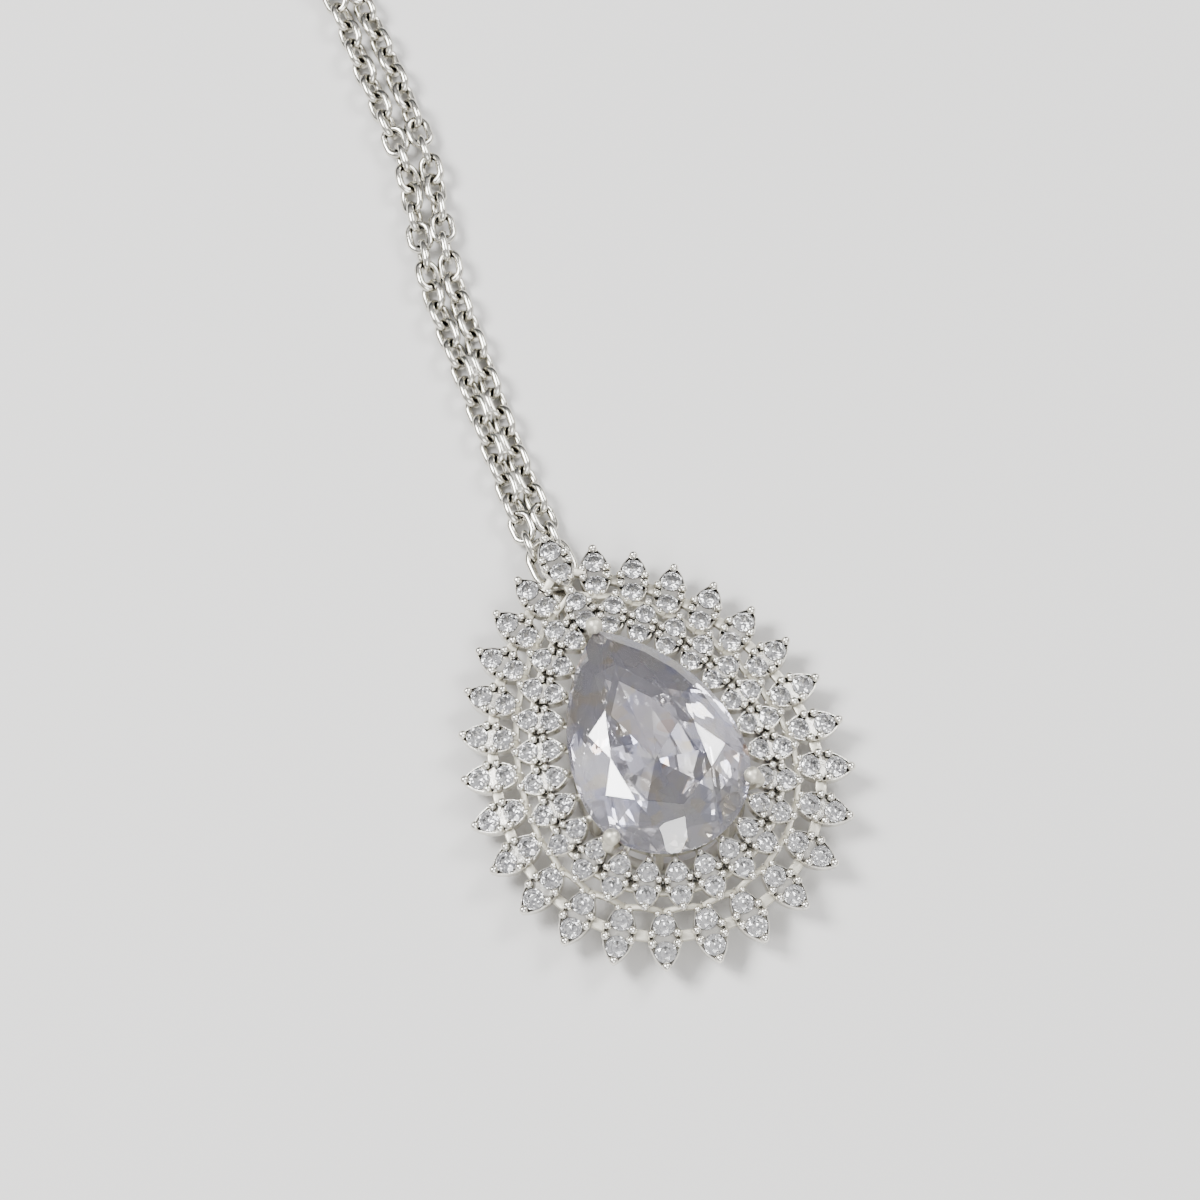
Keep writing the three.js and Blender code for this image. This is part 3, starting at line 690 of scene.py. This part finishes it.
stone = bmesh.new()
girdle_top = GIRDLE_HEIGHT + GIRDLE_BAND
rows = [(inset, girdle_top + rise, count, phase) for inset, rise, count, phase in CROWN]
rows += [(0.0, girdle_top, GIRDLE_POINTS, 0.0), (0.0, GIRDLE_HEIGHT, GIRDLE_POINTS, 0.0)]
rows += [(inset, GIRDLE_HEIGHT - drop, count, phase) for inset, drop, count, phase in PAVILION]
points = [(place.x, place.y, z) for offset, z, count, phase in rows for place in pear_ring(offset, count, phase)]
points.append((0, CULET_Y, GIRDLE_HEIGHT - PAVILION_DEPTH))
for point in in_metres(points):
    stone.verts.new(point)
bmesh.ops.convex_hull(stone, input=stone.verts)
bmesh.ops.delete(stone, geom=[v for v in stone.verts if not v.link_faces], context="VERTS")
bmesh.ops.dissolve_limit(stone, angle_limit=SAME_LARGE_FACET, verts=stone.verts, edges=stone.edges)
mesh = bpy.data.meshes.new("pear_stone")
stone.to_mesh(mesh)
stone.free()
mesh.shade_flat()
mesh.materials.append(centre_zirconia)
pear_stone = bpy.data.objects.new("pear_stone", mesh)
bpy.context.scene.collection.objects.link(pear_stone)
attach(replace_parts(pear_stone, "centre_stone"), "root")

# Chain: two strands of oval links side by side, brass wire bent, soldered shut and plated. Alternate links lean
# either way, and the rings at its two ends are made in the same way from thicker wire.
WIRE = 0.64
LINK_LENGTH = 3.12
LINK_WIDTH = 2.35
LINK_SEAT = 0.04
LINK_LEAN = 42
END_LEAN = 10
EASE_LINKS = 2
CHAIN_LINKS = 31
# The lie that the photograph shows: the middle line's place from the first link, sideways and along, the distance
# between the strands, and the twist in degrees.
CHAIN_ROUTE = [
    (0, 0, 1.98, 0),
    (0.1, 2.57, 1.98, 0),
    (0.4, 7.07, 1.74, 0),
    (1.0, 14.07, 1.76, 0),
    (1.55, 20.07, 1.95, 0),
    (1.9, 24.07, 2.02, 0),
    (3.4, 31.07, 2.14, 64),
    (4.6, 36.07, 2.16, 116),
    (5.1, 42.07, 2.25, 180),
    (5.4, 48.07, 2.3, 180),
    (5.6, 53.07, 2.0, 180),
    (5.6, 66.07, 2.0, 180),
]
FLOOR_GAP = 0.02
RING_WIRE = 0.7
RING_LENGTH = 5.0
RING_WIDTH = 4.0
RING_REACH = 2.03
LINE_STEPS = 200
LOOK_AHEAD = 0.05
pitch = LINK_LENGTH - 2 * WIRE + LINK_SEAT
chain_start = ring_y + RING_REACH

# Rhodium over drawn and tumbled brass wire: glossier than the casting, with faint marks that are a little darker, and
# painted shade where the wire stands close to other metal.
rhodium_wire, nodes = empty_material("rhodium_plated_wire")
TUMBLE_MARK = 0.25
position = add(nodes, "ShaderNodeTexCoord").outputs["Object"]
marks_noise = add(nodes, "ShaderNodeTexNoise", {"Vector": position, "Scale": 1 / (TUMBLE_MARK * MM), "Detail": 3.0})
gloss = add(
    nodes,
    "ShaderNodeMapRange",
    {"Value": marks_noise.outputs["Fac"], **NOISE_SPREAD, "To Min": 0.1, "To Max": 0.22},
)
colour = add(nodes, "ShaderNodeValToRGB", {"Fac": marks_noise.outputs["Fac"]})
fill_ramp(colour.color_ramp, [(0.35, "#D2CFC4"), (0.65, "#E9E6DC")])
relief = add(
    nodes,
    "ShaderNodeBump",
    {"Height": marks_noise.outputs["Fac"], "Strength": 0.25, "Distance": 0.02 * MM},
)
shader = add(
    nodes,
    "ShaderNodeBsdfPrincipled",
    {
        "Base Color": with_corner_shade(nodes, colour.outputs["Color"]),
        "Metallic": 1.0,
        "Roughness": gloss.outputs["Result"],
        "Normal": relief.outputs["Normal"],
    },
)
add(nodes, "ShaderNodeOutputMaterial", {"Surface": shader.outputs["BSDF"]})


def strand_line(side):
    """Close points on a strand's middle line: a centripetal Catmull-Rom curve through the route."""
    route = [np.array((x + side * spacing / 2, chain_start + y)) for x, y, spacing, _ in CHAIN_ROUTE]
    route = [2 * route[0] - route[1], *route, 2 * route[-1] - route[-2]]
    line = []
    for before, start, end, after in zip(route, route[1:], route[2:], route[3:]):
        d0, d1, d2 = (np.linalg.norm(b - a) ** 0.5 for a, b in ((before, start), (start, end), (end, after)))
        leave = d1 * ((start - before) / d0 - (end - before) / (d0 + d1) + (end - start) / d1)
        arrive = d1 * ((end - start) / d1 - (after - start) / (d1 + d2) + (after - end) / d2)
        for i in range(LINE_STEPS):
            t = i / LINE_STEPS
            line.append(
                (2 * t**3 - 3 * t**2 + 1) * start
                + (t**3 - 2 * t**2 + t) * leave
                + (3 * t**2 - 2 * t**3) * end
                + (t**3 - t**2) * arrive
            )
    return np.array(line)


def link_place(line, i):
    """Where link i of a strand has its middle, and the heading of the chain there."""
    steps = np.linalg.norm(np.diff(line, axis=0), axis=1)
    along = np.concatenate([[0], np.cumsum(steps)])
    x, y = (np.interp(i * pitch, along, line[:, axis]) for axis in (0, 1))
    ahead = [np.interp(i * pitch + LOOK_AHEAD, along, line[:, axis]) for axis in (0, 1)]
    return x, y, math.atan2(x - ahead[0], ahead[1] - y)


middle_line = strand_line(0)


def link_lean(i):
    """Alternate links stand crosswise, upright or flat at the two ends, and the whole chain twists on its way."""
    ease = min(1, min(i, CHAIN_LINKS - 1 - i) / EASE_LINKS)
    lean = END_LEAN + (LINK_LEAN - END_LEAN) * ease + (90 if i % 2 == 0 else 0)
    past_start = link_place(middle_line, i)[1] - chain_start
    return lean + np.interp(past_start, [row[1] for row in CHAIN_ROUTE], [row[3] for row in CHAIN_ROUTE])


def strand_height(i):
    """The height of link i's middle, as the strand lies on the lower edges of the links about it."""
    near = [n for n in (i - 1, i, i + 1) if 0 <= n < CHAIN_LINKS]
    rises = [abs(math.sin(math.radians(link_lean(n)))) for n in near]
    return WIRE / 2 + (LINK_WIDTH - WIRE) / 2 * max(rises) + FLOOR_GAP


links_tree, given = new_tree(
    "Wire links on marks",
    [
        ("Length", "NodeSocketFloat"),
        ("Width", "NodeSocketFloat"),
        ("Wire", "NodeSocketFloat"),
        ("Segments", "NodeSocketInt"),
        ("Sides", "NodeSocketInt"),
        ("Finish", "NodeSocketMaterial"),
    ],
)
across = add(links_tree, "ShaderNodeMath", {0: given["Width"], 1: given["Wire"]}, operation="SUBTRACT")
bend_radius = add(links_tree, "ShaderNodeMath", {0: across.outputs["Value"], 1: 0.5}, operation="MULTIPLY")
spare = add(links_tree, "ShaderNodeMath", {0: given["Length"], 1: given["Width"]}, operation="SUBTRACT")
slide = add(links_tree, "ShaderNodeMath", {0: spare.outputs["Value"], 1: 0.5}, operation="MULTIPLY")
wire_radius = add(links_tree, "ShaderNodeMath", {0: given["Wire"], 1: 0.5}, operation="MULTIPLY")
bend = add(
    links_tree,
    "GeometryNodeCurvePrimitiveCircle",
    {"Resolution": given["Segments"], "Radius": bend_radius.outputs["Value"]},
)
position = add(links_tree, "GeometryNodeInputPosition").outputs["Position"]
on_bend = add(links_tree, "ShaderNodeSeparateXYZ", {"Vector": position})
half = add(links_tree, "ShaderNodeMath", {0: on_bend.outputs["Y"]}, operation="SIGN")
moved = add(links_tree, "ShaderNodeMath", {0: half.outputs["Value"], 1: slide.outputs["Value"]}, operation="MULTIPLY")
offset = add(links_tree, "ShaderNodeCombineXYZ", {"Y": moved.outputs["Value"]})
oval = add(
    links_tree,
    "GeometryNodeSetPosition",
    {"Geometry": bend.outputs["Curve"], "Offset": offset.outputs["Vector"]},
)
section = add(
    links_tree,
    "GeometryNodeCurvePrimitiveCircle",
    {"Resolution": given["Sides"], "Radius": wire_radius.outputs["Value"]},
)
link = add(
    links_tree,
    "GeometryNodeCurveToMesh",
    {"Curve": oval.outputs["Geometry"], "Profile Curve": section.outputs["Curve"]},
)
copy_on_marks(links_tree, given["Marks"], link.outputs["Mesh"], given["Finish"])

points, turns = [], []
for side in (-1, 1):
    line = strand_line(side)
    for i in range(CHAIN_LINKS):
        x, y, heading = link_place(line, i)
        points.append((x, y, strand_height(i)))
        turns.append((0, math.radians(side * link_lean(i)), heading))
chain = grown(
    "chain_links",
    marks(points, turns),
    links_tree,
    "plated_wire",
    length=LINK_LENGTH * MM,
    width=LINK_WIDTH * MM,
    wire=WIRE * MM,
    segments=22,
    sides=10,
    finish=rhodium_wire,
)
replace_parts(chain, "double_chain")

end_x, chain_end_y, _ = link_place(middle_line, CHAIN_LINKS - 1)
end_ring_y = chain_end_y + RING_REACH
ring_height = (ring_low.z + ring_high.z) / 2
end_rings = [
    ("first_ring", "jump_ring", (0, ring_y, ring_height)),
    ("last_ring", "end_ring", (end_x, end_ring_y, ring_height)),
]
for name, node, middle in end_rings:
    ring = grown(
        name,
        marks([middle], [(0, 0, 0)]),
        links_tree,
        "plated_wire",
        length=RING_LENGTH * MM,
        width=RING_WIDTH * MM,
        wire=RING_WIRE * MM,
        segments=40,
        sides=16,
        finish=rhodium_wire,
    )
    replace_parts(ring, node)

# Solder: small flat pools of silver solder that hold the two strands side by side near the pendant. They are
# duller than the wire, with soft edges where they ran on to it.
SOLDER_LINKS = (3, 5, 7, 9)
SOLDER = {"length": 2.15, "width": 1.0, "height": 0.5, "square": 0.65, "sink": 0.1}

silver_solder, nodes = empty_material("silver_solder")
POOL_GRAIN = 0.15
position = add(nodes, "ShaderNodeTexCoord").outputs["Object"]
grain = add(nodes, "ShaderNodeTexNoise", {"Vector": position, "Scale": 1 / (POOL_GRAIN * MM), "Detail": 4.0})
gloss = add(
    nodes,
    "ShaderNodeMapRange",
    {"Value": grain.outputs["Fac"], **NOISE_SPREAD, "To Min": 0.2, "To Max": 0.4},
)
relief = add(nodes, "ShaderNodeBump", {"Height": grain.outputs["Fac"], "Strength": 0.5, "Distance": 0.03 * MM})
shader = add(
    nodes,
    "ShaderNodeBsdfPrincipled",
    {
        "Base Color": linear("#E6E3D8"),
        "Metallic": 1.0,
        "Roughness": gloss.outputs["Result"],
        "Normal": relief.outputs["Normal"],
    },
)
add(nodes, "ShaderNodeOutputMaterial", {"Surface": shader.outputs["BSDF"]})

pool = bmesh.new()
bmesh.ops.create_uvsphere(pool, u_segments=16, v_segments=8, radius=1.0)
for vertex in pool.verts:
    soft = [math.copysign(abs(c) ** SOLDER["square"], c) for c in vertex.co]
    vertex.co = (soft[0] * SOLDER["width"] / 2, soft[1] * SOLDER["length"] / 2, soft[2] * SOLDER["height"] / 2)
pool_shape = finished_shape("pool", pool, slope=0, crease=60)
points, turns = [], []
for i in SOLDER_LINKS:
    x, y, heading = link_place(middle_line, i)
    points.append((x, y, 2 * strand_height(i) - FLOOR_GAP - SOLDER["sink"] - SOLDER["height"] / 2))
    turns.append((0, 0, heading))
solder = grown("solder", marks(points, turns), copies_tree, "plated_wire", shape=pool_shape, finish=silver_solder)
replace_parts(solder, "double_chain")
bpy.data.objects.remove(pool_shape)

# Tongue and post: a flat strip and a round peg of plated brass behind the top setting. The first ring lies
# round the peg, between the strip and the setting.
RING_CLEARANCE = 0.3
TONGUE_WIDTH = 1.8
TONGUE_CORNER = 0.15
POST = {"width": 1.0, "waist": 1.5, "below_setting": 0.9, "sides": 16}

ring_back = ring_y - (RING_LENGTH - RING_WIRE) / 2
post_y = ring_back + RING_WIRE / 2 + RING_CLEARANCE + POST["width"] / 2
tongue_top = ring_height - RING_WIRE / 2 - RING_CLEARANCE
tongue_start = pear_place(BASKET_OFFSET, 0).y
tongue_end = post_y + POST["width"] / 2
section = rounded_section(TONGUE_WIDTH, 0.0, tongue_top, TONGUE_CORNER)
strip = [(x, y, z) for y in (tongue_start, tongue_end) for x, z in section], tube_faces(2, len(section))
post_heights = (tongue_top / 2, POST["waist"], TOP_SETTING["height"] - POST["below_setting"])
post = rod([(POST["width"] / 2, z, 0) for z in post_heights], POST["sides"], (0, post_y))
loop = new_piece("tongue_and_post", *joined([strip, post]), rhodium_cast)
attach(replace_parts(loop, "pendant_frame"), "root")

# Hair hook: one length of plated brass wire, bent to a long hook that slides into the hair, with its start
# turned into an upright eye that holds the last ring.
HOOK = {"wire": 1.0, "gap": 5.0, "shank": 12.0, "return": 8.0, "flare": 0.8}
HOOK_EYE = {"wire": 0.55, "hole": 1.0}
HOOK_START = 0.6
HOOK_STEPS = 12

bent_tree, given = new_tree(
    "Wire along edges",
    [("Thickness", "NodeSocketFloat"), ("Sides", "NodeSocketInt"), ("Finish", "NodeSocketMaterial")],
)
radius = add(bent_tree, "ShaderNodeMath", {0: given["Thickness"], 1: 0.5}, operation="MULTIPLY")
section = add(
    bent_tree,
    "GeometryNodeCurvePrimitiveCircle",
    {"Resolution": given["Sides"], "Radius": radius.outputs["Value"]},
)
bent_wire = add(
    bent_tree,
    "GeometryNodeCurveToMesh",
    {
        "Curve": add(bent_tree, "GeometryNodeMeshToCurve", {"Mesh": given["Marks"]}).outputs["Curve"],
        "Profile Curve": section.outputs["Curve"],
        "Fill Caps": True,
    },
)
end_tree(bent_tree, bent_wire.outputs["Mesh"], given["Finish"])

eye_y = end_ring_y + (RING_LENGTH - RING_WIRE) / 2
bend = (HOOK["gap"] + HOOK["wire"]) / 2
hook_z = HOOK["wire"] / 2 + FLOOR_GAP
shoulder = eye_y + HOOK_START + HOOK["shank"]
path = [(end_x, eye_y + HOOK_START + i * HOOK["shank"] / HOOK_STEPS, hook_z) for i in range(HOOK_STEPS)]
for i in range(2 * HOOK_STEPS + 1):
    angle = math.pi * (1 - i / (2 * HOOK_STEPS))
    path.append((end_x + bend + bend * math.cos(angle), shoulder + bend * math.sin(angle), hook_z))
for i in range(1, HOOK_STEPS + 1):
    share = i / HOOK_STEPS
    path.append((end_x + 2 * bend + HOOK["flare"] * share**2, shoulder - share * HOOK["return"], hook_z))
path_mesh = bpy.data.meshes.new("hook_path")
path_mesh.from_pydata(in_metres(path), [(i, i + 1) for i in range(len(path) - 1)], [])
hook = grown(
    "hook_wire",
    path_mesh,
    bent_tree,
    "plated_wire",
    thickness=HOOK["wire"] * MM,
    sides=16,
    finish=rhodium_wire,
)
hook_eye = grown(
    "hook_eye",
    marks([(end_x, eye_y, ring_height)], [(0, math.radians(90), 0)]),
    links_tree,
    "plated_wire",
    length=(HOOK_EYE["hole"] + 2 * HOOK_EYE["wire"]) * MM,
    width=(HOOK_EYE["hole"] + 2 * HOOK_EYE["wire"]) * MM,
    wire=HOOK_EYE["wire"] * MM,
    segments=32,
    sides=12,
    finish=rhodium_wire,
)
for piece in (hook, hook_eye):
    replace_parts(piece, "hair_hook")

# Studio: a plain pale matt floor, a large soft light above and to the left, weaker ones to the right and in front,
# and a sky of pale and darker bands for the metal and the stones to reflect. The camera has the photograph's angle.
FLOOR_SIZE = 3000.0
SKY_AXIS = (0.0, -0.6, 0.8)
SKY = [
    (0.0, "#66676B"),
    (0.25, "#C9C8CA"),
    (0.42, "#F2F1F4"),
    (0.58, "#7C7B82"),
    (0.74, "#E4E3E6"),
    (0.95, "#FFFFFF"),
]
SKY_STRENGTH = 0.95
CAMERA = {"place": (-45.04, -115.16, 314.19), "aim": (2.44, -0.88, 0.0), "roll": -2.07}
LENS = {"lens": 123.3, "sensor_width": 36.0, "clip_start": 0.01}

floor_paint, nodes = empty_material("pale_matt_floor")
shader = add(nodes, "ShaderNodeBsdfPrincipled", {"Base Color": linear("#DAD9D7"), "Roughness": 0.7})
add(nodes, "ShaderNodeOutputMaterial", {"Surface": shader.outputs["BSDF"]})
reach = FLOOR_SIZE / 2
corners = [(-reach, -reach, 0), (reach, -reach, 0), (reach, reach, 0), (-reach, reach, 0)]
floor = new_piece("floor", corners, [(0, 1, 2, 3)], floor_paint)

world = bpy.data.worlds.new("studio")
bpy.context.scene.world = world
world.use_nodes = True
sky = world.node_tree
direction = add(sky, "ShaderNodeTexCoord").outputs["Generated"]
lean = add(sky, "ShaderNodeVectorMath", {0: direction, 1: SKY_AXIS}, operation="DOT_PRODUCT")
shade = add(sky, "ShaderNodeValToRGB", {"Fac": lean.outputs["Value"]})
fill_ramp(shade.color_ramp, SKY)
sky.links.new(shade.outputs["Color"], sky.nodes["Background"].inputs["Color"])
sky.nodes["Background"].inputs["Strength"].default_value = SKY_STRENGTH

# Each light's place in metres, its width in metres and its power in watts.
LIGHTS = [
    ("soft_key", (-0.3, 0.24, 0.5), 0.24, 7.0),
    ("soft_fill", (0.42, 0.1, 0.45), 0.22, 3.0),
    ("soft_front", (-0.05, -0.5, 0.42), 0.3, 2.5),
]
for name, place, size, power in LIGHTS:
    lamp = bpy.data.lights.new(name, "AREA")
    lamp.size = size
    lamp.energy = power
    light = bpy.data.objects.new(name, lamp)
    light.location = place
    light.rotation_euler = (-Vector(place)).to_track_quat("-Z", "Y").to_euler()
    bpy.context.scene.collection.objects.link(light)

lens = bpy.data.cameras.new("camera")
for key, value in LENS.items():
    setattr(lens, key, value)
camera = bpy.data.objects.new("camera", lens)
camera.location = Vector(CAMERA["place"]) * MM
turn = (Vector(CAMERA["aim"]) - Vector(CAMERA["place"])).to_track_quat("-Z", "Y")
camera.rotation_euler = (turn @ Quaternion((0, 0, 1), math.radians(CAMERA["roll"]))).to_euler()
bpy.context.scene.collection.objects.link(camera)
bpy.context.scene.camera = camera
